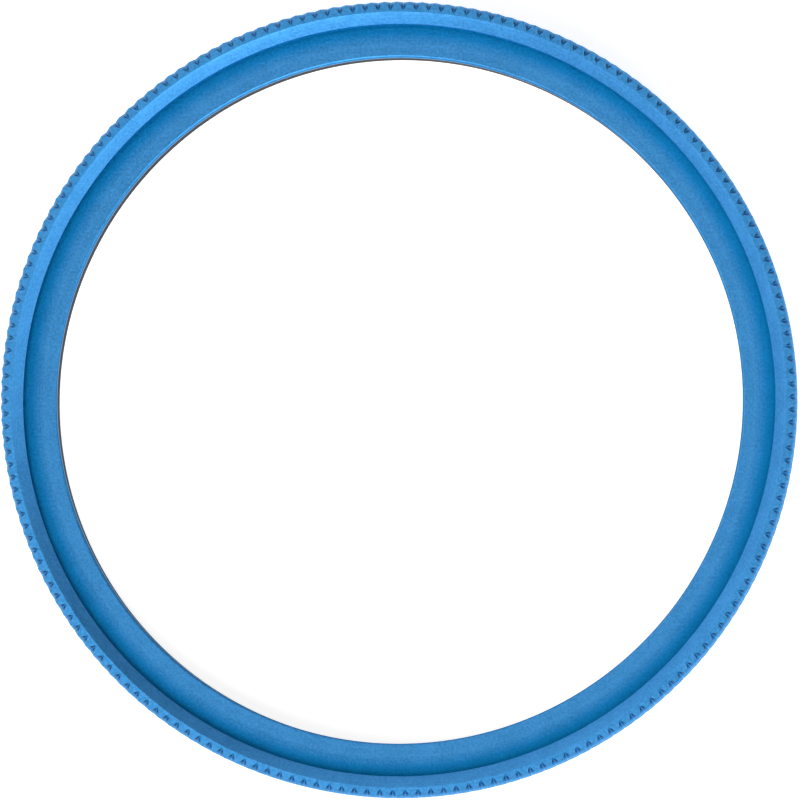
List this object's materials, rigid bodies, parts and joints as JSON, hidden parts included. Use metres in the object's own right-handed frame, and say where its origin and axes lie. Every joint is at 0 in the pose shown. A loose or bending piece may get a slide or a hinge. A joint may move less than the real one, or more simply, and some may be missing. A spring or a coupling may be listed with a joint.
{
  "type": "friction ball support ring",
  "caption": "Blue anodised, diamond-knurled support ring with a bevelled recess, a wide round hole that the ball sits in, and a dark foot ring underneath.",
  "frame": {"origin": "middle of the face the ring stands on, on the ring's axis", "axes": "+Z up along the ring's axis, out of the recess; +X and +Y across the ring, with +Y up and +X right in the picture"},
  "size_m": [0.0618, 0.0618, 0.0044],
  "materials": {
    "blue_anodised": "satin blue anodised, finely turned",
    "dark_rubber": "matt dark grey moulded rubber"
  },
  "bodies": {
    "root": {"grip_ring": "blue_anodised", "foot_ring": "dark_rubber"}
  },
  "joints": []
}
